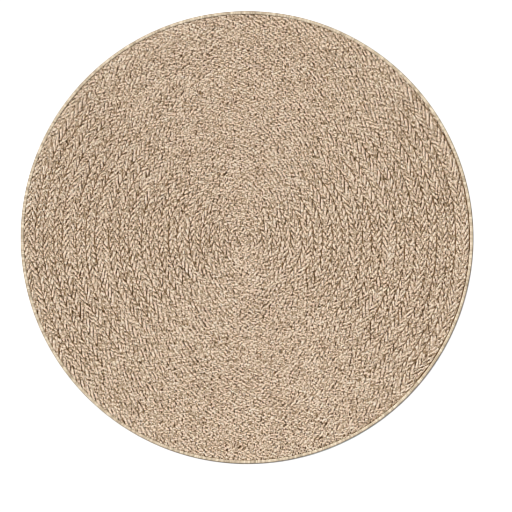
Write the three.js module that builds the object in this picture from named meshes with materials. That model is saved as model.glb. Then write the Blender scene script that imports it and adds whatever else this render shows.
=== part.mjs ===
// Round outdoor rug, laid flat: one flat-woven disc of thick polypropylene yarn, whose raised rows copy
// a coiled plait, with its cut edge overlocked all round in a paler yarn.
// Millimetres, +Z up. The origin is at the middle of the underside, on the ground.
import * as THREE from 'three';

// Driving dimensions
const RUG_DIAMETER = 1600;
const RUG_THICKNESS = 7.2;
const ROW_GROOVE_DEPTH = 1.8;
const ROW_SHOULDER = 0.24; // where a row's rounded back levels off, as a share of its width
const BINDING_COVER = 11; // how far the overlock reaches in over the cloth, above and below
const BINDING_WALL = 1.5; // the overlock yarn above and below the cloth
const SEAT_GAP = 0.3; // between the overlock and the cloth inside it
const TURN_STEPS = 72; // straight sides of every round
const EDGE_ARC_STEPS = 6;

// Widths of the plaited rows, from the middle of the rug to its edge. The last runs in under the overlock.
const ROW_WIDTHS = [
  28, 32, 35, 32, 32, 42, 41, 32, 35, 32, 27,
  46, 32, 37, 50, 32, 35, 48, 30, 37, 28, 50,
];

const rugRadius = RUG_DIAMETER / 2;
const coveredFrom = rugRadius - BINDING_COVER;
const edgeArcRadius = RUG_THICKNESS / 2;
const edgeArcCentre = rugRadius - edgeArcRadius;

const clothFinish = new THREE.MeshStandardMaterial({
  name: 'woven_yarn',
  color: 0xbba58d,
  roughness: 0.85,
  metalness: 0,
});
const bindingFinish = new THREE.MeshStandardMaterial({
  name: 'overlock_yarn',
  color: 0xcdb493,
  roughness: 0.8,
  metalness: 0,
});

// Turns a profile of [radius, height] pairs about the rug's upright axis.
function turned(profile) {
  const points = profile.map(([radius, height]) => new THREE.Vector2(radius, height));
  return new THREE.LatheGeometry(points, TURN_STEPS).rotateX(Math.PI / 2);
}

// The upper side of the cloth from its edge to the middle: a rounded back for each row, a groove between.
function rowBacks() {
  const grooveHeight = RUG_THICKNESS - ROW_GROOVE_DEPTH;
  const backs = [];
  let start = 0;
  for (const width of ROW_WIDTHS) {
    const end = Math.min(start + width, coveredFrom - SEAT_GAP);
    const shoulder = (end - start) * ROW_SHOULDER;
    backs.push([start, grooveHeight], [start + shoulder, RUG_THICKNESS], [end - shoulder, RUG_THICKNESS]);
    start = end;
  }
  backs.push([start, grooveHeight]);
  return backs.reverse();
}

// The woven disc. Its rim is pressed thin where the overlock grips it, level with the last groove.
function wovenCloth() {
  const rimRadius = edgeArcCentre;
  const rimBottom = BINDING_WALL + SEAT_GAP;
  const rimTop = RUG_THICKNESS - BINDING_WALL - SEAT_GAP;
  const pressedFrom = coveredFrom - SEAT_GAP;
  const profile = [
    [0, 0],
    [pressedFrom, 0],
    [pressedFrom, rimBottom],
    [rimRadius, rimBottom],
    [rimRadius, rimTop],
    ...rowBacks(),
  ];
  return new THREE.Mesh(turned(profile), clothFinish);
}

// The overlock: a channel of yarn wrapped over the rim, rounded on the outside.
function edgeOverlock() {
  const innerWall = edgeArcCentre + SEAT_GAP;
  const outerArc = [];
  for (let step = 0; step <= EDGE_ARC_STEPS; step += 1) {
    const angle = -Math.PI / 2 + (Math.PI * step) / EDGE_ARC_STEPS;
    outerArc.push([
      edgeArcCentre + edgeArcRadius * Math.cos(angle),
      edgeArcRadius + edgeArcRadius * Math.sin(angle),
    ]);
  }
  const slotBottom = BINDING_WALL;
  const slotTop = RUG_THICKNESS - BINDING_WALL;
  const profile = [
    [coveredFrom, 0],
    ...outerArc,
    [coveredFrom, RUG_THICKNESS],
    [coveredFrom, slotTop],
    [innerWall, slotTop],
    [innerWall, slotBottom],
    [coveredFrom, slotBottom],
    [coveredFrom, 0],
  ];
  return new THREE.Mesh(turned(profile), bindingFinish);
}

const rug = new THREE.Group();
const cloth = wovenCloth();
cloth.name = 'woven_cloth';
const overlock = edgeOverlock();
overlock.name = 'edge_overlock';
rug.add(cloth, overlock);

export default rug;
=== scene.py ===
"""Round outdoor rug, laid flat: one flat-woven cloth whose raised pattern copies plaited rows.

The cloth is drawn on its own square grid of yarns. In each row, slanted strands meet in a point. A strand
is a patch of weft yarns floated on the face, then a patch of warp yarns with dark slots between them, then
tight plain weave that looks like beads. The cut rim is overlocked with a paler yarn. Weave sizes are in
millimetres, and every mesh is in metres.
"""

import logging
import math
from dataclasses import dataclass, field
from enum import Enum, IntEnum

import bpy
import numpy as np
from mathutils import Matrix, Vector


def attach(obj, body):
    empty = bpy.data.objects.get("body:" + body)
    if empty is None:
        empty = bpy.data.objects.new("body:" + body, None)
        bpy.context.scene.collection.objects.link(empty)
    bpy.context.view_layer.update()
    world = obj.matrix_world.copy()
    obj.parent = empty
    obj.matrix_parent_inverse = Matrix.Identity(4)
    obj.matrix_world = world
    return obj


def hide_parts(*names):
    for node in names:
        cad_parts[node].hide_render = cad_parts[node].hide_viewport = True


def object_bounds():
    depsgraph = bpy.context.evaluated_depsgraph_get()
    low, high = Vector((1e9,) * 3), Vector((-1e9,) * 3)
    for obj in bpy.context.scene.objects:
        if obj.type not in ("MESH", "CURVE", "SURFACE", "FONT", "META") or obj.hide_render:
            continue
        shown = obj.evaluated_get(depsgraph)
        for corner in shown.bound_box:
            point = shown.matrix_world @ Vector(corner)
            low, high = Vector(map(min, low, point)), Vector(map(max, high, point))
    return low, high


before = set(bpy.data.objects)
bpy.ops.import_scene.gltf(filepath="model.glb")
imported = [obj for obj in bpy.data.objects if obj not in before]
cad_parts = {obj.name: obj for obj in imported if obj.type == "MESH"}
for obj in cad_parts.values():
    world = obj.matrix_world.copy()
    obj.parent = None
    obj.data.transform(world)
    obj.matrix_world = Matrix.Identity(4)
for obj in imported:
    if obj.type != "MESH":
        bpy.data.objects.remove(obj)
CAD_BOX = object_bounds()

MM = 0.001
BODY = "root"
BAKE_MAP = "OFBake"
PHOTO_SIDE = 512  # the picture's width and height, in pixels

GOLDEN = 0.618  # spreads the columns' steps evenly
LEAST_UPRIGHT = 0.05  # no row is taken to run more level than this, as a cosine
PLAIN_ROW = 1.0  # a row this wide is too narrow for a pattern, in millimetres

Array = np.ndarray
log = logging.getLogger("rug")


class Effect(Enum):
    """What the face of the cloth shows at one crossing of yarns."""

    FLOAT = 0
    SLOTTED = 1
    BEADED = 2


class Slot(Enum):
    """The record's material slots."""

    CLOTH = "woven_yarn"
    OVERLOCK = "overlock_yarn"


class Draw(IntEnum):
    """The seeds of the random draws that shape the yarns."""

    WANDER_X = 3
    WANDER_Y = 4
    RUN_START = 5
    RUN_JUMP = 6
    SPELL_START = 7
    SPELL_SUNK = 8
    ROW_TURN = 9
    RIPPLE_X = 13
    RIPPLE_Y = 14
    TIE_START = 31
    TIE_HOLDS = 33
    FLOAT_START = 41
    FLOAT_END = 42
    FLOAT_SLOPE = 43
    FLOAT_SHADE = 44
    FLOAT_LIFT = 45
    STRAND_SHADE = 46
    STRAND_SLOPE = 47
    WARP_SHOWS = 51
    WARP_LEAN = 52
    WARP_SHADE = 53
    WARP_LIFT = 54
    WRAP_SIZE = 61
    WRAP_SHADE = 62
    TRIO_SHADE = 63
    GLOOM = 71


class Tint(IntEnum):
    """The seeds of the random draws within the finishes."""

    PATCH = 1
    SLOT_OPENS = 3
    WARP_SHADE = 4
    RUN_START = 5
    RUN_DEPTH = 6


def scatter(a: Array, b: Array, seed: int) -> Array:
    """Draws an even random number for each pair of whole numbers, the same on every run.

    Args:
        a: Whole numbers, as any array.
        b: Whole numbers, broadcast against a.
        seed: Picks one of many independent draws.

    Returns:
        Numbers from 0 up to 1.
    """
    a, b = np.broadcast_arrays(np.floor(a), np.floor(b))
    mixed = a.astype(np.int64).astype(np.uint64) * np.uint64(0x9E3779B97F4A7C15)
    mixed ^= b.astype(np.int64).astype(np.uint64) * np.uint64(0xC2B2AE3D27D4EB4F)
    mixed += np.uint64(seed * 0x165667B19E3779F9 % (1 << 64))
    for shift, factor in ((30, 0xBF58476D1CE4E5B9), (27, 0x94D049BB133111EB)):
        mixed = (mixed ^ (mixed >> np.uint64(shift))) * np.uint64(factor)
    return (mixed >> np.uint64(40)).astype(float) / float(1 << 24)


def swing(a: Array, b: Array, seed: int) -> Array:
    """Draws an even random number from -1 to 1 for each pair of whole numbers."""
    return (scatter(a, b, seed) - 0.5) * 2


def drift(x: Array, y: Array, size: float, seed: int) -> Array:
    """Smooth random drift over the cloth.

    Args:
        x: Places across, in millimetres.
        y: Places along, in millimetres.
        size: How far apart its humps are, in millimetres.
        seed: Picks one of many independent drifts.

    Returns:
        Numbers from -1 to 1.
    """
    u, v = x / size, y / size
    left, low = np.floor(u), np.floor(v)
    s, t = u - left, v - low
    s, t = s * s * (3 - 2 * s), t * t * (3 - 2 * t)
    lower = scatter(left, low, seed) * (1 - s) + scatter(left + 1, low, seed) * s
    upper = scatter(left, low + 1, seed) * (1 - s) + scatter(left + 1, low + 1, seed) * s
    return 2 * (lower * (1 - t) + upper * t) - 1


@dataclass
class Reading:
    """What the weave shows at many places, one entry for each."""

    effect: Array
    strand: Array  # its number
    phase: Array  # how far through the strand's pitch, from 0 to 1
    across: Array  # the place across the row, from 0 to 1


@dataclass(frozen=True)
class PlaitedWeave:
    """The pattern on the face: rings of plaited rows, in millimetres."""

    row_widths: tuple[float, ...] = (
        28, 32, 35, 32, 32, 42, 41, 32, 35, 32, 27,
        46, 32, 37, 50, 32, 35, 48, 30, 37, 28, 50,
    )
    centre: tuple[float, float] = (-5.4, -5.7)
    squeeze: float = 1.018  # the rings are this much flatter along the warp
    strand_pitch: float = 24.5
    strand_angle: float = 29.0  # between a strand and its row, in degrees
    point_place: float = 0.45  # where the strands of a row meet, as a share of its width
    float_share: float = 0.52  # of a strand's pitch
    slotted_share: float = 0.26
    bead_band: float = 5.4  # of tight weave between the arms of upright rows, and none between level ones
    slot_margin: float = 0.2  # of the bead band, where no slot opens either
    wander: float = 2.2  # how far the yarns are pushed about, over long stretches and over short ones
    wander_size: float = 28.0
    ripple: float = 0.8
    ripple_size: float = 7.0
    column: float = 4.1  # two warp yarns
    pick: float = 2.2  # one weft yarn
    column_jitter: float = 1.6  # how far the pattern jumps from one run of a column to the next
    level_jitter: float = 3.4  # the same above and below the middle, where the rows run level
    jitter_run: float = 12.0
    tie_spacing: float = 14.0  # between the warp yarns that tie the floats down
    tie_width: float = 3.2
    tie_share: float = 0.6
    slot_length: float = 5.6
    level_slot_length: float = 8.6
    sunk_length: float = 8.0
    sunk_share: float = 0.03  # of places where the floats dip under the warp
    gloom_size: float = 7.0
    gloom_contrast: float = 1.2

    ROW_STRIDE = 1000  # between the numbers of one row's strands and the next row's

    def ring_edges(self) -> Array:
        """The radii that part the rows, from the middle to the rim."""
        return np.concatenate([[0.0], np.cumsum(self.row_widths)])

    def row_at(self, radius: Array) -> Array:
        """The number of the row at each radius."""
        found = np.searchsorted(self.ring_edges(), radius, side="right") - 1
        return np.clip(found, 0, len(self.row_widths) - 1)

    def strand_count(self) -> Array:
        """How many strands each arm of each row has."""
        middles = self.ring_edges()[:-1] + np.array(self.row_widths) / 2
        return np.maximum(3, np.round(2 * math.pi * middles / self.strand_pitch))

    def shift(self, x: Array, y: Array) -> tuple[Array, Array]:
        """Works out how far the yarns have been pushed off an even pattern.

        Args:
            x: Places along the weft.
            y: Places along the warp.

        Returns:
            How far each place is pushed across, and how far along.
        """
        pushes = []
        for long, short in ((Draw.WANDER_X, Draw.RIPPLE_X), (Draw.WANDER_Y, Draw.RIPPLE_Y)):
            wander = self.wander * drift(x, y, self.wander_size, long)
            pushes.append(wander + self.ripple * drift(x, y, self.ripple_size, short))
        return tuple(pushes)

    def gloom(self, x: Array, y: Array) -> Array:
        """How open and dark the slots are at each place, from 0 to 1."""
        return np.clip(0.5 + self.gloom_contrast * drift(x, y, self.gloom_size, Draw.GLOOM), 0, 1)

    @staticmethod
    def _level(x: Array, y: Array, there: float, elsewhere: float) -> Array:
        """Picks one number above and below the middle, where the rows run level, and another elsewhere."""
        return np.where(np.abs(y) > np.abs(x), there, elsewhere)

    def step_middle(self, x: Array, y: Array) -> Array:
        """Finds the middle of the step of its column that each place is in. A slot fills a step.

        Args:
            x: Places along the weft.
            y: Places along the warp.

        Returns:
            The steps' middles along the warp.
        """
        start = np.floor(x / self.column) * GOLDEN
        length = self._level(x, y, self.level_slot_length, self.slot_length)
        step = np.floor(y / length + start - np.floor(start))
        return (step + 0.5 - (start - np.floor(start))) * length

    def _locate(self, x: Array, y: Array) -> tuple[Array, Array, Array, Array]:
        """Finds places in the plait.

        Args:
            x: Places along the weft.
            y: Places along the warp.

        Returns:
            The strand's number, how far through its pitch each place lies, its place across the row, and
            how far along the weft the nearest end of the strand is.
        """
        shift_x, shift_y = self.shift(x, y)
        dx = x + shift_x - self.centre[0]
        dy = self.squeeze * (y + shift_y - self.centre[1])
        radius, turn = np.hypot(dx, dy), np.arctan2(dy, dx) / (2 * math.pi)
        row = self.row_at(radius)
        start, width = self.ring_edges()[row], np.array(self.row_widths, float)[row]
        across = (radius - start) / width
        length = 2 * math.pi * (start + width / 2)
        count = self.strand_count()[row]
        from_point = (across - self.point_place) * width
        outer_arm = from_point > 0
        trail = np.abs(from_point) / math.tan(math.radians(self.strand_angle)) * count / length
        place = turn * count - trail + scatter(row, row, Draw.ROW_TURN) + 0.5 * outer_arm
        strand = np.floor(place) + self.ROW_STRIDE * (row + 0.5 * outer_arm)
        upright = np.maximum(np.abs(dx) / np.maximum(radius, 1.0), LEAST_UPRIGHT)
        room = np.minimum(np.abs(from_point), np.minimum(across, np.abs(1 - across)) * width) / upright
        return strand, place - np.floor(place), across, room

    def read(self, x: Array, y: Array) -> Reading:
        """Reads the pattern.

        Args:
            x: Places along the weft.
            y: Places along the warp.

        Returns:
            The reading.
        """
        column = np.floor(x / self.column)
        run = np.floor(y / self.jitter_run + scatter(column, column, Draw.RUN_START))
        jump = swing(column, run, Draw.RUN_JUMP) * self._level(x, y, self.level_jitter, self.column_jitter)
        strand, phase, across, room = self._locate(x, y + jump)
        from_tie = (x / self.tie_spacing + scatter(strand, strand, Draw.TIE_START)) % 1 * self.tie_spacing
        holds = scatter(np.floor(y / self.pick), strand, Draw.TIE_HOLDS) < self.tie_share
        tied = (from_tie < self.tie_width) & holds
        spell = np.floor(y / self.sunk_length + scatter(column, column, Draw.SPELL_START))
        sunk = scatter(column, spell, Draw.SPELL_SUNK) < self.sunk_share
        floated = (phase < self.float_share) & (room > self.bead_band / 2) & ~tied & ~sunk

        _, slot_phase, _, slot_room = self._locate(x, self.step_middle(x, y))
        end = self.float_share + self.slotted_share
        slotted = (slot_phase >= self.float_share) & (slot_phase < end)
        slotted &= slot_room > self.bead_band * self.slot_margin
        effect = np.where(slotted, Effect.SLOTTED.value, Effect.BEADED.value)
        effect = np.where(floated, Effect.FLOAT.value, effect)
        return Reading(effect, strand, phase, across)


def piece_from(name: str, points: Array, corners: Array, sizes: Array) -> bpy.types.Object:
    """Makes a smooth mesh object and links it to the scene.

    Args:
        name: The piece's name.
        points: Vertices in millimetres, a row of three for each.
        corners: Vertex numbers of all faces, one after another.
        sizes: The number of corners of each face.

    Returns:
        The new object, in metres.
    """
    mesh = bpy.data.meshes.new(name)
    mesh.vertices.add(len(points))
    mesh.vertices.foreach_set("co", (points * MM).astype(np.float32).ravel())
    mesh.loops.add(len(corners))
    mesh.loops.foreach_set("vertex_index", corners.astype(np.int32))
    mesh.polygons.add(len(sizes))
    starts = np.concatenate([[0], np.cumsum(sizes)[:-1]])
    mesh.polygons.foreach_set("loop_start", starts.astype(np.int32))
    mesh.polygons.foreach_set("use_smooth", np.ones(len(sizes), bool))
    mesh.update(calc_edges=True)
    made = bpy.data.objects.new(name, mesh)
    bpy.context.scene.collection.objects.link(made)
    return made


def paint(piece: bpy.types.Object, name: str, domain: str, values: Array) -> None:
    """Stores a number, or three, for each vertex or face, for a finish to read.

    Args:
        piece: The mesh object.
        name: The attribute's name.
        domain: POINT or FACE.
        values: The numbers, in one column or three.
    """
    kind, key = ("FLOAT", "value") if values.ndim == 1 else ("FLOAT_VECTOR", "vector")
    layer = piece.data.attributes.new(name, kind, domain)
    layer.data.foreach_set(key, values.astype(np.float32).ravel())


def lay_map(piece: bpy.types.Object, places: Array) -> None:
    """Adds the map to bake the finishes through.

    Args:
        piece: The mesh object.
        places: A pair for each corner of the faces, from 0 to 1.
    """
    layer = piece.data.uv_layers.new(name=BAKE_MAP)
    layer.uv.foreach_set("vector", places.astype(np.float32).ravel())


class Wire:
    """One socket of a shader in an expression. Maths on it adds the nodes."""

    def __init__(self, bench: "Bench", socket: bpy.types.NodeSocket) -> None:
        """Wraps a socket of the bench's tree."""
        self.bench = bench
        self.socket = socket

    def _join(self, operation: str, first: "Wire | float", second: "Wire | float | tuple") -> "Wire":
        """Adds one Math or Vector Math node.

        Args:
            operation: The node's operation.
            first: The value of its first socket.
            second: The value of its second socket.

        Returns:
            The node's output.
        """
        vector = any(isinstance(w, Wire) and w.socket.type == "VECTOR" for w in (first, second))
        kind = "ShaderNodeVectorMath" if vector else "ShaderNodeMath"
        node = self.bench.node(kind, {"operation": operation}, {0: first, 1: second})
        return Wire(self.bench, node.outputs[0])

    def __add__(self, other: "Wire | float") -> "Wire":
        """Adds another value."""
        return self._join("ADD", self, other)

    __radd__ = __add__

    def __sub__(self, other: "Wire | float") -> "Wire":
        """Takes another value away."""
        return self._join("SUBTRACT", self, other)

    def __rsub__(self, other: "Wire | float") -> "Wire":
        """Is taken away from another value."""
        return self._join("SUBTRACT", other, self)

    def __mul__(self, other: "Wire | float | tuple") -> "Wire":
        """Multiplies by another value."""
        return self._join("MULTIPLY", self, other)

    __rmul__ = __mul__

    def __truediv__(self, other: "Wire | float") -> "Wire":
        """Divides by another value."""
        return self._join("DIVIDE", self, other)

    def __lt__(self, other: "Wire | float") -> "Wire":
        """Is 1 where it is less than another value."""
        return self._join("LESS_THAN", self, other)

    def __gt__(self, other: "Wire | float") -> "Wire":
        """Is 1 where it is more than another value."""
        return self._join("GREATER_THAN", self, other)

    def work(self, operation: str, other: "Wire | float" = 0.0) -> "Wire":
        """Works out any other sum, by the name of its operation."""
        return self._join(operation, self, other)

    def floor(self) -> "Wire":
        """Rounds down."""
        return self.work("FLOOR")

    def fract(self) -> "Wire":
        """Keeps what is past the whole number."""
        return self.work("FRACT")

    def parts(self) -> tuple["Wire", "Wire", "Wire"]:
        """Takes a vector apart."""
        node = self.bench.node("ShaderNodeSeparateXYZ", {}, {"Vector": self})
        return tuple(Wire(self.bench, node.outputs[axis]) for axis in range(3))

    def blend(self, other: "Wire | tuple", share: "Wire | float") -> "Wire":
        """Mixes two colours.

        Args:
            other: The second colour.
            share: How much of it, from 0 to 1.

        Returns:
            The mixed colour.
        """
        node = self.bench.node("ShaderNodeMix", {"data_type": "RGBA"}, {0: share, 6: self, 7: other})
        return Wire(self.bench, node.outputs[2])


class Bench:
    """Builds the node tree of one material."""

    def __init__(self, name: str) -> None:
        """Makes an empty material.

        Args:
            name: The material's name.
        """
        self.material = bpy.data.materials.new(name)
        self.material.use_nodes = True
        self.tree = self.material.node_tree
        self.tree.nodes.clear()

    def node(self, kind: str, settings: dict, sockets: dict) -> bpy.types.Node:
        """Adds any node.

        Args:
            kind: The node's type.
            settings: Its own settings, set first. A ramp's stops are pairs of place and colour.
            sockets: Values or wires by the socket's name or number.

        Returns:
            The node.
        """
        made = self.tree.nodes.new(kind)
        for key, value in settings.items():
            if key == "stops":
                self._set_stops(made.color_ramp, value)
            else:
                setattr(made, key, value)
        for key, value in sockets.items():
            if isinstance(value, Wire):
                self.tree.links.new(value.socket, made.inputs[key])
            elif isinstance(value, tuple) and made.inputs[key].type == "RGBA":
                made.inputs[key].default_value = (*value[:3], 1.0)
            elif made.inputs[key].type == "VECTOR" and not isinstance(value, tuple):
                made.inputs[key].default_value = (value, value, value)
            else:
                made.inputs[key].default_value = value
        return made

    def _set_stops(self, ramp: bpy.types.ColorRamp, stops: list) -> None:
        """Puts a ramp's stops in place.

        Args:
            ramp: The ramp.
            stops: Pairs of place and colour.
        """
        while len(ramp.elements) < len(stops):
            ramp.elements.new(1.0)
        for element, (place, colour) in zip(ramp.elements, stops, strict=True):
            element.position = place
            element.color = (*colour, 1.0)

    def wire(self, kind: str, settings: dict, sockets: dict, output: int | str = 0) -> Wire:
        """Adds a node and wraps one of its outputs."""
        return Wire(self, self.node(kind, settings, sockets).outputs[output])

    def painted(self, name: str, output: str = "Fac") -> Wire:
        """Reads what paint stored under that name."""
        return self.wire("ShaderNodeAttribute", {"attribute_name": name}, {}, output)

    def draw(self, first: Wire, second: Wire | float, seed: float) -> Wire:
        """Draws an even random number for each pair of whole numbers.

        Args:
            first: Whole numbers.
            second: Whole numbers.
            seed: Picks one of many independent draws.

        Returns:
            Numbers from 0 to 1.
        """
        pair = self.wire("ShaderNodeCombineXYZ", {}, {"X": first, "Y": second, "Z": seed})
        return self.wire("ShaderNodeTexWhiteNoise", {"noise_dimensions": "3D"}, {"Vector": pair}, "Value")

    def depth(self, column: float, run: float) -> Wire:
        """How much shade and wear are painted, from 0 to 1, along each short run of each column, where the
        warp pulls the face down.

        Args:
            column: The width of a column in millimetres.
            run: The length of a run.

        Returns:
            A number that is even over each run.
        """
        x, y, _ = (self.place() * (1 / MM)).parts()
        lane = (x / column).floor()
        start = self.draw(lane, 0.0, Tint.RUN_START)
        return self.draw(lane, (y / run + start).floor(), Tint.RUN_DEPTH)

    def ramp(self, value: Wire, shades: tuple) -> Wire:
        """Turns a number from 0 to 1 into a colour between shades that are evenly apart."""
        places = np.linspace(0.0, 1.0, len(shades)).tolist()
        stops = list(zip(places, shades, strict=True))
        return self.wire("ShaderNodeValToRGB", {"stops": stops}, {"Fac": value})

    def place(self) -> Wire:
        """The place on the rug, in metres."""
        return self.wire("ShaderNodeTexCoord", {}, {}, "Object")

    def raised(self, height: Wire, relief: float, strength: float) -> Wire:
        """Raises the surface by a height from 0 to 1, where 1 stands for the relief in metres."""
        sockets = {"Strength": strength, "Distance": relief, "Height": height}
        return self.wire("ShaderNodeBump", {}, sockets)

    def finish(self, sockets: dict) -> bpy.types.Material:
        """Ends the tree in one surface.

        Args:
            sockets: Values or wires of the surface's sockets, by name.

        Returns:
            The material.
        """
        surface = self.wire("ShaderNodeBsdfPrincipled", {}, sockets)
        self.node("ShaderNodeOutputMaterial", {}, {"Surface": surface})
        return self.material


@dataclass(frozen=True)
class YarnFinish:
    """A twisted yarn of split film, which shines a little along its fibres."""

    name: str
    shades: tuple[tuple[float, float, float], ...]  # from its darkest yarn to its palest
    fibre_scale: tuple[float, float, float]  # fibres for each metre, along X, Y and Z
    shade_and_wear_dip: float = 0.0  # how much painted shade and wear darken it where the warp pulls it down, and pale it elsewhere
    column: float = 4.1  # the width and length of a run of the warp that pulls it down, in millimetres
    run: float = 11.0
    streaks: float = 0.22  # how much the fibres differ
    roughness: float = 0.6
    gloss: float = 0.2
    relief: float = 0.00025  # of the fibres, in metres
    relief_strength: float = 0.6

    def make(self) -> bpy.types.Material:
        """Builds the material. Each yarn's own shade comes from the number painted on it.

        Returns:
            The material.
        """
        bench = Bench(self.name)
        stretched = bench.place() * self.fibre_scale
        fibres = bench.wire(
            "ShaderNodeTexNoise", {}, {"Vector": stretched, "Scale": 1.0, "Detail": 2.0, "Roughness": 0.6}
        )
        value = bench.painted("shade") + (fibres - 0.5) * self.streaks
        # Painted shade and wear: short runs along the warp columns are darker or paler.
        if self.shade_and_wear_dip > 0:
            value = value + (0.5 - bench.depth(self.column, self.run)) * self.shade_and_wear_dip
        colour = bench.ramp(value, self.shades)
        raised = bench.raised(fibres, self.relief, self.relief_strength)
        return bench.finish(
            {
                "Base Color": colour,
                "Roughness": self.roughness,
                "Normal": raised,
                "Specular IOR Level": self.gloss,
            }
        )


@dataclass(frozen=True)
class GroundFinish:
    """The cloth under the floated yarns: tight weave like beads, and warps with dark slots between. Shade
    is painted into its colour: in the slots, in the grooves between rows, in the gaps under the floats and
    over each bead.
    """

    name: str
    weave: PlaitedWeave
    # Painted shade: near black in the slots between warp yarns, dark in the grooves between rows, and
    # darker brown in the gaps under the floats.
    slot: tuple[float, float, float] = (0.056, 0.024, 0.005)
    line: tuple[float, float, float] = (0.19, 0.106, 0.046)
    under: tuple[float, float, float] = (0.36, 0.24, 0.135)
    warps: tuple[tuple[float, float, float], ...] = ((0.23, 0.127, 0.043), (0.86, 0.70, 0.535))
    beads: tuple[tuple[float, float, float], ...] = (
        (0.155, 0.079, 0.024),
        (0.56, 0.412, 0.275),
        (0.93, 0.795, 0.65),
    )
    under_float_shade_share: float = 0.6  # how much of the shade painted under the floats shows
    bead_pitch: float = 2.4
    bead_fall: float = 3.2  # how fast a bead falls away from its top
    patch_length: float = 4.6
    patch_weight: float = 0.6  # how much the patch, the bead and the bead's own height change its shade; the height's part is painted shading, paler on each bead's top and darker round its foot
    bead_weight: float = 0.3
    bead_top_shading: float = 0.35
    bead_dimming: float = 0.1
    warp_base: float = 0.4  # the shade of the darkest warp yarn
    warp_spread: float = 0.6
    warp_dimming: float = 0.4  # where the slots are darkest
    shade_and_wear_dip: float = 0.3  # how much painted shade and wear darken it where the warp pulls it down, and pale it elsewhere
    run: float = 11.0
    slot_width: float = 0.6  # as a share of a column
    slot_widest: float = 0.95  # where the slots gape most
    slot_share: float = 0.8
    stray_share: float = 0.08
    line_width: float = 2.6
    line_reach: float = 0.75  # how upright a row runs where its lines begin, as a cosine
    line_share: float = 0.85
    narrowest: float = 5.0  # what is painted as a narrower row stays plain
    relief: float = 0.0009  # of a bead, in metres
    relief_strength: float = 0.7

    def _zones(self, bench: Bench, x: Wire, y: Wire) -> tuple[Wire, Wire, Wire]:
        """Reads the pattern as the weave does, from what is painted on the cloth.

        Args:
            bench: The material's bench.
            x: Places along the weft, in millimetres.
            y: Places along the warp.

        Returns:
            1 where yarns float over the ground, 1 where it is slotted, and 1 in the lines that part the
            rows where they run along the warp.
        """
        weave = self.weave
        shift_x, shift_y, _ = bench.painted("push", "Vector").parts()
        start, width, offset = bench.painted("row", "Vector").parts()
        dx = x + shift_x - weave.centre[0]
        dy = (y + shift_y - weave.centre[1]) * weave.squeeze
        radius = (dx * dx + dy * dy).work("SQRT")
        across = radius - start
        from_point = across - width * weave.point_place
        side = from_point.work("ABSOLUTE")
        length = (start + width * 0.5) * (2 * math.pi)
        count = (length / weave.strand_pitch).work("ROUND").work("MAXIMUM", 3.0)
        trail = side * count / length / math.tan(math.radians(weave.strand_angle))
        turn = dy.work("ARCTAN2", dx) / (2 * math.pi)
        phase = (turn * count - trail + offset + (from_point > 0.0) * 0.5).fract()
        upright = (dx.work("ABSOLUTE") / radius.work("MAXIMUM", 1.0)).work("MAXIMUM", LEAST_UPRIGHT)
        room = side.work("MINIMUM", across).work("MINIMUM", (width - across).work("ABSOLUTE")) / upright
        patterned = width > self.narrowest
        floated = (phase < weave.float_share) * (room > weave.bead_band / 2) * patterned
        end = weave.float_share + weave.slotted_share
        clear = room > weave.bead_band * weave.slot_margin
        slotted = (phase > weave.float_share) * (phase < end) * clear * patterned
        edge = across.work("MINIMUM", width - across).work("ABSOLUTE")
        parted = (edge < self.line_width / 2) * (upright > self.line_reach) * patterned
        return floated, slotted, parted

    def make(self) -> bpy.types.Material:
        """Builds the material from what is painted on the cloth.

        Returns:
            The material.
        """
        weave = self.weave
        bench = Bench(self.name)
        x, y, _ = (bench.place() * (1 / MM)).parts()
        lane = x / weave.column
        first = (lane.floor() * GOLDEN).fract()
        level = y.work("ABSOLUTE") > x.work("ABSOLUTE")
        length = level * (weave.level_slot_length - weave.slot_length) + weave.slot_length
        step = (y / length + first).floor()
        floated, _, parted = self._zones(bench, x, y)
        _, slotted, _ = self._zones(bench, x, (step + 0.5 - first) * length)
        gloom = bench.painted("push", "Vector").parts()[2]

        knots = bench.node(
            "ShaderNodeTexVoronoi",
            {"voronoi_dimensions": "2D"},
            {"Vector": bench.place(), "Scale": 1 / self.bead_pitch / MM, "Randomness": 0.6},
        )
        far, own = Wire(bench, knots.outputs["Distance"]), Wire(bench, knots.outputs["Color"])
        top = 1 - far * far * self.bead_fall
        patchy = bench.draw(lane.floor(), (y / self.patch_length).floor(), Tint.PATCH)
        # Painted shade and wear: short runs along the warp columns are darker or paler.
        shade_and_wear_dip = 0.5 - bench.depth(weave.column, self.run)
        # Each bead is painted paler on its top and darker round its foot, as shading, on top of its random
        # patch and bead tone.
        shade = patchy * self.patch_weight + own.parts()[0] * self.bead_weight + top * self.bead_top_shading
        beads = bench.ramp(shade - self.bead_dimming + shade_and_wear_dip * self.shade_and_wear_dip, self.beads)

        luck = bench.draw(lane.floor(), step, Tint.SLOT_OPENS)
        own_shade = bench.draw((lane * 2).floor(), step, Tint.WARP_SHADE)
        warp_shade = own_shade * self.warp_spread + self.warp_base - gloom * self.warp_dimming
        warps = bench.ramp(warp_shade, self.warps)
        # The open slots, and a few stray ones outside the floats, are painted near black as the shade deep
        # between warp yarns.
        deep = lane.fract() < gloom * (self.slot_widest - self.slot_width) + self.slot_width
        opened = deep * (luck < gloom * (1 - self.slot_share) + self.slot_share) * slotted
        stray = deep * (luck < self.stray_share) * (1 - floated)
        # Dark lines are painted in the grooves where the rows part, as shade.
        groove_shade = parted * (luck < self.line_share)

        # Under the floats a darker brown is painted, as the shade in the gaps between them.
        colour = beads.blend(warps, slotted).blend(self.under, floated * self.under_float_shade_share)
        colour = colour.blend(self.line, groove_shade).blend(self.slot, opened.work("MAXIMUM", stray))
        raised = bench.raised(top, self.relief, self.relief_strength)
        return bench.finish(
            {"Base Color": colour, "Roughness": 0.85, "Normal": raised, "Specular IOR Level": 0.1}
        )


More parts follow.
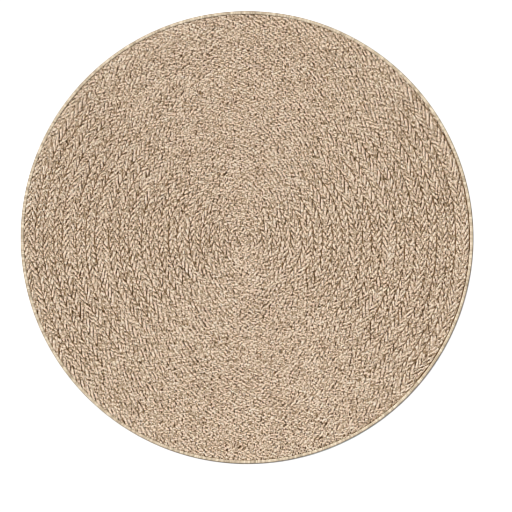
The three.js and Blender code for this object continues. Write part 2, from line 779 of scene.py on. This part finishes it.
@dataclass(frozen=True)
class PlainFinish:
    """An even matt surface."""

    name: str
    colour: tuple[float, float, float]

    def make(self) -> bpy.types.Material:
        """Builds the material."""
        sockets = {"Base Color": self.colour, "Roughness": 0.9, "Specular IOR Level": 0.1}
        return Bench(self.name).finish(sockets)


@dataclass
class WovenFace:
    """The heights of the cloth's face, in millimetres over the ground."""

    weave: PlaitedWeave
    groove: float = 3.4
    crest: float = 5.0
    squareness: int = 3  # 2 makes the rows' backs round, and more makes them flatter on top
    bead_rise: float = 0.4
    slot_drop: float = 1.6

    def row_back(self, across: Array) -> Array:
        """The rounded back of a row under its yarns.

        Args:
            across: Places across the row, from 0 to 1.

        Returns:
            Heights.
        """
        from_middle = np.abs(2 * np.clip(across, 0, 1) - 1)
        return self.groove + (self.crest - self.groove) * (1 - from_middle**self.squareness)

    def ground(self, reading: Reading) -> Array:
        """The woven ground, which drops in the slots and rises in the beads.

        Args:
            reading: The weave at the places asked for.

        Returns:
            Heights.
        """
        rise = np.array([0.0, -self.slot_drop, self.bead_rise])
        return self.row_back(reading.across) + rise[reading.effect]


@dataclass
class RugCloth:
    """The woven disc: a closed sheet with the pattern's relief in its face and a flat underside."""

    face: WovenFace
    radius: float = 790.3  # a little way into the overlock
    rim_height: float = 4.2
    undercut: float = 2.0  # how far in the underside's edge lies from the face's
    cell: tuple[float, float] = (5.0, 4.6)
    name: str = "rug_cloth"

    FACE_PLACE, FACE_SIZE = 0.37, 0.72  # the middle and width of the face and the underside on the map
    UNDER_PLACE, UNDER_SIZE = 0.87, 0.24
    WALL_LENGTH, WALL_PLACE, WALL_HEIGHT = 0.7, 0.76, 0.01

    def build(self) -> bpy.types.Object:
        """Builds the cloth on a grid of small cells.

        Returns:
            The cloth.
        """
        weave = self.face.weave
        counts = [int(self.radius / side) for side in self.cell]
        spans = [np.arange(-n, n + 1) * side for n, side in zip(counts, self.cell, strict=True)]
        x, y = (grid.ravel() for grid in np.meshgrid(*spans, indexing="ij"))
        number = np.arange(len(x)).reshape(len(spans[0]), len(spans[1]))
        corners = (number[:-1, :-1], number[1:, :-1], number[1:, 1:], number[:-1, 1:])
        quads = np.stack([corner.ravel() for corner in corners], 1)
        inside = np.hypot(x, y) < self.radius
        used, quads = np.unique(quads[inside[quads].all(1)], return_inverse=True)
        quads = quads.reshape(-1, 4)
        x, y = x[used], y[used]

        points = np.column_stack([x, y, self.face.ground(weave.read(x, y))])
        points, faces, sizes = self._close(points, quads, self._rim(quads))
        cloth = piece_from(self.name, points, faces, sizes)
        self._paint(cloth, points, quads, len(sizes))
        lay_map(cloth, self._map(points, faces, sizes))
        return cloth

    def _rim(self, quads: Array) -> Array:
        """Follows the edge of the grid.

        Args:
            quads: The face's quads, counter-clockwise from above.

        Returns:
            The numbers of the edge's vertices in order, counter-clockwise from above.
        """
        start, end = quads.ravel(), np.roll(quads, -1, 1).ravel()
        size = quads.max() + 1
        both = set((end * size + start).tolist())
        onward = {s: e for s, e in zip(start.tolist(), end.tolist()) if s * size + e not in both}
        first = next(iter(onward))
        loop, here = [first], onward[first]
        while here != first:
            loop.append(here)
            here = onward[here]
        return np.array(loop)

    def _close(self, points: Array, quads: Array, rim: Array) -> tuple[Array, Array, Array]:
        """Rounds the edge off to a circle inside the overlock and adds the flat underside.

        Args:
            points: The face's vertices.
            quads: The face's quads.
            rim: The edge's vertices.

        Returns:
            All vertices, all corners, and the number of corners of each face.
        """
        edge = points[rim]
        unit = edge[:, :2] / np.hypot(edge[:, 0], edge[:, 1])[:, None]
        points[rim, :2] = unit * self.radius
        points[rim, 2] = self.rim_height
        under = np.column_stack([unit * (self.radius - self.undercut), np.zeros(len(rim))])
        first = len(points)
        low = first + np.arange(len(rim))
        walls = np.stack([rim, low, np.roll(low, -1), np.roll(rim, -1)], 1)
        faces = np.concatenate([quads.ravel(), walls.ravel(), low[::-1]])
        sizes = np.concatenate([np.full(len(quads) + len(walls), 4), [len(rim)]])
        return np.vstack([points, under]), faces, sizes

    def _paint(self, cloth: bpy.types.Object, points: Array, quads: Array, count: int) -> None:
        """Stores how the weave is pushed about and how dark its slots are, and which row each face is in.

        The underside is painted as a row too narrow for a pattern, so it stays plain.

        Args:
            cloth: The cloth.
            points: Its vertices.
            quads: The face's quads.
            count: The number of all faces.
        """
        weave = self.face.weave
        x, y = points[:, 0], points[:, 1]
        push = np.column_stack([*weave.shift(x, y), weave.gloom(x, y)])
        middle = (points + push)[quads].mean(1)
        dx, dy = middle[:, 0] - weave.centre[0], weave.squeeze * (middle[:, 1] - weave.centre[1])
        row = weave.row_at(np.hypot(dx, dy))
        start, width = weave.ring_edges()[row], np.array(weave.row_widths, float)[row]
        rows = np.zeros((count, 3))
        rows[:, 1] = PLAIN_ROW
        rows[: len(quads)] = np.column_stack([start, width, scatter(row, row, Draw.ROW_TURN)])
        paint(cloth, "push", "POINT", push)
        paint(cloth, "row", "FACE", rows)

    def _map(self, points: Array, faces: Array, sizes: Array) -> Array:
        """Lays the face large on the map, and the underside small beside it.

        Args:
            points: The vertices.
            faces: The corners.
            sizes: The number of corners of each face.

        Returns:
            A pair for each corner.
        """
        owner = np.repeat(np.arange(len(sizes)), sizes)
        side = points[faces, :2] / (2 * self.radius)
        places = self.FACE_PLACE + side * self.FACE_SIZE
        under = owner == len(sizes) - 1
        places[under] = self.UNDER_PLACE + side[under] * self.UNDER_SIZE
        wall = (sizes[owner] == 4) & (owner >= len(sizes) - 1 - sizes[-1])
        turn = np.arctan2(side[wall, 1], side[wall, 0]) / (2 * math.pi) + 0.5
        upper = points[faces[wall], 2] > self.rim_height / 2
        rise = self.WALL_PLACE + self.WALL_HEIGHT * upper
        places[wall] = np.column_stack([turn * self.WALL_LENGTH, rise])
        return places

    def dress(self, cloth: bpy.types.Object) -> None:
        """Args:
            cloth: The cloth.
        """
        cloth.data.materials.append(GroundFinish("woven_ground", self.face.weave).make())
        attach(cloth, BODY)
        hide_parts("woven_cloth")


@dataclass
class YarnRuns:
    """Many short yarns that lie on the face, each from one place to another."""

    start: Array
    end: Array
    shade: Array
    low: Array  # the ground's height under each
    lift: Array  # how far its back stands over that
    width: float

    SECTION = ((1, 2, 5, 4), (2, 3, 6, 5), (3, 1, 4, 6))
    TIPS = ((0, 2, 1), (0, 3, 2), (0, 1, 3), (7, 4, 5), (7, 5, 6), (7, 6, 4))
    CORNERS = 8
    SHOULDER = 0.17  # where a yarn has its full width, as a share of its length
    SINK = 0.35  # how far its foot reaches into the ground, in millimetres
    TIP_RISE = 0.25  # how far its tips rise, as a share of its back's lift
    BANDS = ((0.0, 0.42), (0.42, 0.84), (0.84, 1.0))  # of a yarn's square on the map
    MARGIN = 0.06  # round that square

    def build(self, name: str) -> bpy.types.Object:
        """Builds each yarn as a closed spindle with an arched back, all joined in one mesh.

        Args:
            name: The piece's name.

        Returns:
            The piece.
        """
        count = len(self.start)
        run = self.end - self.start
        along = run / np.linalg.norm(run, axis=1)[:, None]
        aside = np.column_stack([-along[:, 1], along[:, 0]]) * self.width / 2
        points = np.zeros((count, self.CORNERS, 3))
        for tip, place in ((0, self.start), (self.CORNERS - 1, self.end)):
            points[:, tip, :2] = place
            points[:, tip, 2] = self.low - self.SINK + self.TIP_RISE * self.lift
        for ring, share in ((1, self.SHOULDER), (4, 1 - self.SHOULDER)):
            middle = self.start + run * share
            for k, offset in enumerate((1, 0, -1)):
                points[:, ring + k, :2] = middle + aside * offset
                points[:, ring + k, 2] = self.low + (self.lift if offset == 0 else -self.SINK)
        base = self.CORNERS * np.arange(count)[:, None]
        faces = np.concatenate([np.array(self.SECTION).ravel(), np.array(self.TIPS).ravel()])
        sizes = np.tile([len(face) for face in (*self.SECTION, *self.TIPS)], count)
        piece = piece_from(name, points.reshape(-1, 3), (base + faces).ravel(), sizes)
        paint(piece, "shade", "POINT", np.repeat(self.shade, self.CORNERS))
        lay_map(piece, self._map(count))
        return piece

    def _map(self, count: int) -> Array:
        """Gives each yarn its own square of the map.

        Args:
            count: The number of yarns.

        Returns:
            A pair for each corner.
        """
        share = (0.0, self.SHOULDER, self.SHOULDER, self.SHOULDER, *[1 - self.SHOULDER] * 3, 1.0)
        square = []
        for (low, high), quad in zip(self.BANDS, self.SECTION, strict=True):
            square += [(share[n], low if k in (0, 3) else high) for k, n in enumerate(quad)]
        for k, tip in enumerate(self.TIPS):
            low, high = self.BANDS[k % 3]
            ends = (high, low) if k < 3 else (low, high)
            square += [(share[n], v) for n, v in zip(tip, ((low + high) / 2, *ends), strict=True)]
        side = math.ceil(math.sqrt(count))
        at = np.column_stack([np.arange(count) % side, np.arange(count) // side])
        inner = self.MARGIN + (1 - 2 * self.MARGIN) * np.array(square)
        return ((at[:, None, :] + inner) / side).reshape(-1, 2)

    def chosen(self, keep: Array) -> "YarnRuns":
        """The runs that a mask keeps."""
        kept = (getattr(self, key)[keep] for key in ("start", "end", "shade", "low", "lift"))
        return YarnRuns(*kept, self.width)


@dataclass
class FaceYarns:
    """The yarns that show on the face one by one: floated wefts, and warps between slots."""

    face: WovenFace
    radius: float = 788.0
    float_width: float = 2.7
    shortest: int = 2  # warp yarns that a float passes at least
    longest: int = 8  # and at most
    overhang: float = 0.9  # how far a float reaches past its patch
    end_scatter: float = 0.7
    float_slope: float = 0.5  # how far a float's ends stray up and down, by itself and with its strand
    strand_slope: float = 0.8
    float_shade: float = 0.52
    float_contrast: float = 0.26
    strand_contrast: float = 0.08
    strand_bulge: float = 0.9  # how far the middle of a strand stands over its ends
    float_lift: float = 1.2
    float_lift_spread: float = 0.5
    warp_width: float = 2.6
    warp_overhang: float = 0.8
    warp_lean: float = 0.45
    warp_shade: float = 0.75
    warp_contrast: float = 0.3
    warp_gloom: float = 0.6  # how much darker a warp yarn is where the slots are darkest
    warp_depth: float = 1.0
    warp_lift: float = 1.0
    warp_lift_spread: float = 0.4
    filled_slots: float = 0.4
    gaping_share: float = 0.5  # of warp yarns that lie too deep to show, where it is darkest
    float_rings: int = 3  # pieces that the floats are parted into
    warp_rings: int = 2
    _grid: tuple = field(default=(), repr=False)

    def _read(self) -> tuple[Array, Array, Reading, Array]:
        """Reads the weave at each crossing of a weft and a warp yarn.

        Returns:
            The crossings' places across and along, the reading, and the ground's height.
        """
        if not self._grid:
            weave = self.face.weave
            half = weave.column / 2
            across = 2 * int(self.radius / weave.column)
            along = int(self.radius / weave.pick)
            x = (np.arange(-across, across) + 0.5) * half
            y = (np.arange(-along, along) + 0.5) * weave.pick
            gx, gy = np.meshgrid(x, y)
            reading = weave.read(gx, gy)
            self._grid = (gx, gy, reading, self.face.row_back(reading.across))
        return self._grid

    @staticmethod
    def _runs(mask: Array, longest: int) -> tuple[Array, Array, Array]:
        """Finds unbroken runs along each line of a mask, cut where they are too long.

        Args:
            mask: Lines of true and false.
            longest: The most cells in a run.

        Returns:
            The line of each run, its first cell, and the cell after its last.
        """
        padded = np.pad(mask, ((0, 0), (1, 1))).astype(np.int8)
        step = np.diff(padded, axis=1)
        line, first = np.nonzero(step == 1)
        _, last = np.nonzero(step == -1)
        parts = -(-(last - first) // longest)
        owner = np.repeat(np.arange(len(line)), parts)
        part = np.arange(len(owner)) - (np.cumsum(parts) - parts)[owner]
        length = (last - first)[owner]
        cut = first[owner] + length * part // parts[owner]
        return line[owner], cut, first[owner] + length * (part + 1) // parts[owner]

    def floats(self) -> YarnRuns:
        """Finds the weft floats.

        Returns:
            The runs.
        """
        gx, gy, reading, back = self._read()
        weave = self.face.weave
        mask = (reading.effect == Effect.FLOAT.value) & (np.hypot(gx, gy) < self.radius)
        line, first, last = self._runs(mask, self.longest)
        long_enough = last - first >= self.shortest
        line, first, last = line[long_enough], first[long_enough], last[long_enough]
        middle = (first + last) // 2
        past = weave.column / 4 + self.overhang
        x0 = gx[line, first] - past + self.end_scatter * swing(line, first, Draw.FLOAT_START)
        x1 = gx[line, last - 1] + past + self.end_scatter * swing(line, first, Draw.FLOAT_END)
        y = gy[line, middle]
        strand = reading.strand[line, middle]
        slope = self.float_slope * swing(line, first, Draw.FLOAT_SLOPE)
        slope += self.strand_slope * swing(strand, strand, Draw.STRAND_SLOPE)
        shade = self.float_shade + self.float_contrast * swing(line, first, Draw.FLOAT_SHADE)
        shade += self.strand_contrast * swing(strand, strand, Draw.STRAND_SHADE)
        bulge = np.sin(math.pi * np.clip(reading.phase[line, middle] / weave.float_share, 0, 1))
        return YarnRuns(
            start=np.column_stack([x0, y - slope]),
            end=np.column_stack([x1, y + slope]),
            shade=shade,
            low=back[line, middle] + self.strand_bulge * bulge,
            lift=self.float_lift + self.float_lift_spread * scatter(line, first, Draw.FLOAT_LIFT),
            width=self.float_width,
        )

    def warps(self) -> YarnRuns:
        """Finds the warp yarns that stand between slots.

        Returns:
            The runs.
        """
        gx, gy, reading, back = self._read()
        weave = self.face.weave
        mask = (reading.effect == Effect.SLOTTED.value) & (np.hypot(gx, gy) < self.radius)
        line, first, last = self._runs(mask.T, len(mask))
        middle = (first + last) // 2
        luck = scatter(line, first, Draw.WARP_SHOWS)
        gloom = weave.gloom(gx[middle, line], gy[middle, line])
        opened = (line % 2 == 0) & (luck > self.filled_slots * (1 - gloom))
        keep = ~opened & (luck >= self.gaping_share * gloom)
        line, first, last, middle, gloom = (a[keep] for a in (line, first, last, middle, gloom))
        x = gx[middle, line]
        y0 = gy[first, line] - weave.pick / 2 - self.warp_overhang
        y1 = gy[last - 1, line] + weave.pick / 2 + self.warp_overhang
        lean = self.warp_lean * swing(line, first, Draw.WARP_LEAN)
        shade = self.warp_shade + self.warp_contrast * swing(line, first, Draw.WARP_SHADE)
        return YarnRuns(
            start=np.column_stack([x - lean, y0]),
            end=np.column_stack([x + lean, y1]),
            shade=shade - self.warp_gloom * gloom,
            low=back[middle, line] - self.warp_depth,
            lift=self.warp_lift + self.warp_lift_spread * scatter(line, first, Draw.WARP_LIFT),
            width=self.warp_width,
        )

    @staticmethod
    def _rings(runs: YarnRuns, count: int, name: str) -> list[bpy.types.Object]:
        """Builds yarns in rings about the middle, with as many yarns in each.

        Args:
            runs: The yarns.
            count: The number of rings.
            name: What the pieces' names begin with.

        Returns:
            The pieces, from the middle outwards.
        """
        radius = np.hypot(*((runs.start + runs.end) / 2).T)
        ring = np.argsort(np.argsort(radius, kind="stable"), kind="stable") * count // len(radius)
        return [runs.chosen(ring == k).build(f"{name}_{k + 1}") for k in range(count)]

    def build(self) -> list[bpy.types.Object]:
        """Builds the floats and the warps, each in rings.

        Returns:
            The pieces.
        """
        floats = self._rings(self.floats(), self.float_rings, "float_yarn")
        return floats + self._rings(self.warps(), self.warp_rings, "warp_yarn")

    def dress(self, pieces: list[bpy.types.Object]) -> None:
        """Gives the yarns their finishes.

        Args:
            pieces: The pieces.
        """
        weft = YarnFinish(
            "weft_yarn",
            shades=((0.32, 0.195, 0.088), (0.925, 0.752, 0.592), (0.98, 0.915, 0.81)),
            shade_and_wear_dip=0.3,
            fibre_scale=(90.0, 2200.0, 2200.0),
        ).make()
        warp = YarnFinish(
            "warp_yarn",
            shades=((0.26, 0.143, 0.052), (0.71, 0.54, 0.385), (0.93, 0.795, 0.65)),
            shade_and_wear_dip=0.3,
            fibre_scale=(2200.0, 90.0, 2200.0),
            roughness=0.7,
        ).make()
        for piece in pieces:
            piece.data.materials.append(weft if piece.name.startswith("float") else warp)
            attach(piece, BODY)


@dataclass
class EdgeWhipping:
    """The overlock: one pale yarn wrapped over the rim, all round."""

    radius: float = 800.0
    cover: float = 11.2
    height: float = 7.2
    lip_width: float = 2.0  # of its inner edge, which drops towards the cloth
    lip_drop: float = 0.9
    lip_rise: float = 0.1  # from the top of that edge to the full height
    arc_points: int = 7
    wrap_pitch: float = 3.5
    wrap_relief: float = 0.5
    wrap_scatter: float = 0.09
    steps_per_wrap: int = 2
    slant: float = 3.0  # how far a wrap runs on between the underside and the face
    shade: float = 0.5
    wrap_contrast: float = 0.25
    trio_contrast: float = 0.225  # between each three wraps and the next three
    flank_width: float = 2.5  # of the outside that is painted darker, as shade on the rounded flank
    flank_painted_shade: float = 0.5
    name: str = "edge_whipping"

    MAP_LINES = 24
    MAP_MARGIN = 0.05

    def _section(self) -> tuple[Array, Array]:
        """The outline of the rim, from the face's inner edge over the outside to the underside's.

        Returns:
            Radius and height of each point, and which way is out there.
        """
        half = self.height / 2
        centre = self.radius - half
        inner, top = self.radius - self.cover, self.height
        points = [(inner, top - self.lip_drop), (inner + self.lip_width, top - self.lip_rise)]
        outs = [(-0.3, 0.95), (0.0, 1.0)]
        for turn in np.linspace(math.pi / 2, -math.pi / 2, self.arc_points):
            points.append((centre + half * math.cos(turn), half + half * math.sin(turn)))
            outs.append((math.cos(turn), math.sin(turn)))
        points.append((inner, 0.0))
        outs.append((0.0, 0.0))
        return np.array(points), np.array(outs)

    def build(self) -> bpy.types.Object:
        """Builds the wrapped ring as one closed mesh.

        Returns:
            The ring.
        """
        outline, out = self._section()
        wraps = round(2 * math.pi * self.radius / self.wrap_pitch)
        steps = wraps * self.steps_per_wrap
        turn = 2 * math.pi * np.arange(steps) / steps
        sunk = self.wrap_relief * (np.arange(steps) % self.steps_per_wrap == 0)
        wrap = np.arange(steps) // self.steps_per_wrap
        uneven = self.wrap_scatter * swing(wrap, wrap, Draw.WRAP_SIZE)
        slope = np.linspace(0.5, -0.5, len(outline)) * self.slant / self.radius
        inward = (sunk + uneven)[:, None]
        lift = np.where(np.isclose(outline[:, 1], 0.0), 0.0, out[:, 1])
        radius = outline[:, 0] - inward * out[:, 0]
        height = outline[:, 1] - inward * lift
        angle = turn[:, None] + slope
        points = np.stack([radius * np.cos(angle), radius * np.sin(angle), np.maximum(height, 0.0)], 2)

        number = np.arange(steps * len(outline)).reshape(steps, len(outline))
        onward, next_point = np.roll(number, -1, 0), np.roll(number, -1, 1)
        corner = np.roll(onward, -1, 1)
        quads = np.stack([number, next_point, corner, onward], 2).reshape(-1, 4)
        ring = piece_from(self.name, points.reshape(-1, 3), quads.ravel(), np.full(len(quads), 4))
        trio = wrap // 3
        shade = self.shade + self.wrap_contrast * swing(wrap, wrap, Draw.WRAP_SHADE)
        shade += self.trio_contrast * swing(trio, trio, Draw.TRIO_SHADE)
        # The rounded outside is painted darker, as the shade on the flank that turns away from the light.
        outside = np.clip((outline[:, 0] - self.radius + self.height / 2) / self.flank_width, 0, 1)
        paint(ring, "shade", "POINT", (shade[:, None] - self.flank_painted_shade * outside).ravel())
        across = np.linspace(0, 1, len(outline) + 1)
        u = np.repeat(np.arange(steps) / steps, len(outline))
        v = np.tile(across[:-1], steps)
        du, dv = 1 / steps, across[1]
        square = ((0, 0), (0, 1), (1, 1), (1, 0))
        lay_map(ring, self._wind(np.stack([np.stack([u + a * du, v + b * dv], 1) for a, b in square], 1)))
        return ring

    def _wind(self, places: Array) -> Array:
        """Lays the long strip on the map in shorter ones, one above the other.

        Args:
            places: Four pairs for each face, as if the strip were one.

        Returns:
            A pair for each corner.
        """
        line = np.floor(places[:, 0, 0] * self.MAP_LINES)[:, None]
        u = places[:, :, 0] * self.MAP_LINES - line
        v = (line + self.MAP_MARGIN + (1 - 2 * self.MAP_MARGIN) * places[:, :, 1]) / self.MAP_LINES
        return np.stack([u, v], 2).reshape(-1, 2)

    def dress(self, ring: bpy.types.Object) -> None:
        """Args:
            ring: The ring.
        """
        finish = YarnFinish(
            "overlock_yarn",
            shades=((0.33, 0.255, 0.17), (0.60, 0.485, 0.345), (0.86, 0.76, 0.60)),
            fibre_scale=(500.0, 500.0, 900.0),
            streaks=0.12,
        )
        ring.data.materials.append(finish.make())
        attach(ring, BODY)
        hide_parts("edge_overlock")


@dataclass
class Studio:
    """A pale floor, soft light and a camera straight above."""

    millimetres_per_pixel: float = 3.5355
    rug_in_picture: tuple[float, float] = (246.93, 237.38)  # the rug's middle, in pixels of the picture
    lens: float = 85.0
    sensor: float = 36.0
    floor_side: float = 30.0  # in metres
    floor_drop: float = 0.05  # under the rug, in millimetres
    floor_shade: float = 0.92
    sky: float = 0.42
    key: float = 3.0
    key_tilt: tuple[float, float] = (-28.0, -28.0)  # degrees about X and Y
    key_softness: float = 16.0
    sharpness: float = 0.75  # the picture's filter, in pixels

    def build_camera(self) -> None:
        """Puts the camera where the rug's middle falls on its place in the picture."""
        scale = self.millimetres_per_pixel * MM
        offset = [(PHOTO_SIDE / 2 - place) * scale for place in self.rug_in_picture]
        distance = PHOTO_SIDE * scale / 2 / (self.sensor / 2 / self.lens)
        lens = bpy.data.cameras.new("camera")
        lens.lens, lens.sensor_width = self.lens, self.sensor
        camera = bpy.data.objects.new("camera", lens)
        camera.location = (offset[0], -offset[1], distance + CAD_BOX[1].z / 2)
        bpy.context.scene.collection.objects.link(camera)
        bpy.context.scene.camera = camera

    def build_floor(self) -> None:
        """Lays the floor just under the rug."""
        half = self.floor_side / 2 / MM
        corners = ((-half, -half), (half, -half), (half, half), (-half, half))
        points = np.array([(*corner, -self.floor_drop) for corner in corners])
        floor = piece_from("floor", points, np.arange(4), np.array([4]))
        floor.data.materials.append(PlainFinish("floor_paint", (self.floor_shade,) * 3).make())

    def light(self) -> None:
        """Sets an even sky and one soft sun."""
        world = bpy.data.worlds.new("sky")
        world.use_nodes = True
        sky = world.node_tree.nodes["Background"]
        sky.inputs["Color"].default_value = (1.0, 1.0, 1.0, 1.0)
        sky.inputs["Strength"].default_value = self.sky
        bpy.context.scene.world = world
        sun = bpy.data.lights.new("key_light", "SUN")
        sun.energy, sun.angle = self.key, math.radians(self.key_softness)
        lamp = bpy.data.objects.new("key_light", sun)
        lamp.rotation_euler = (math.radians(self.key_tilt[0]), math.radians(self.key_tilt[1]), 0.0)
        bpy.context.scene.collection.objects.link(lamp)

    def build(self) -> None:
        """Builds the studio, with colours shown as they are."""
        bpy.context.scene.view_settings.view_transform = "Standard"
        bpy.context.scene.cycles.filter_width = self.sharpness
        self.build_camera()
        self.build_floor()
        self.light()


def main() -> None:
    """Builds the rug and its studio."""
    logging.basicConfig(level=logging.INFO, format="%(name)s: %(message)s")
    weave = PlaitedWeave()
    face = WovenFace(weave)

    yarns = FaceYarns(face)
    yarn_pieces = yarns.build()
    yarns.dress(yarn_pieces)
    whipping = EdgeWhipping()
    ring = whipping.build()
    whipping.dress(ring)
    rug = RugCloth(face)
    cloth = rug.build()
    rug.dress(cloth)
    for piece in (cloth, *yarn_pieces, ring):
        triangles = sum(len(face.vertices) - 2 for face in piece.data.polygons)
        log.info("%s: %d triangles", piece.name, triangles)

    Studio().build()


if __name__ == "__main__":
    main()
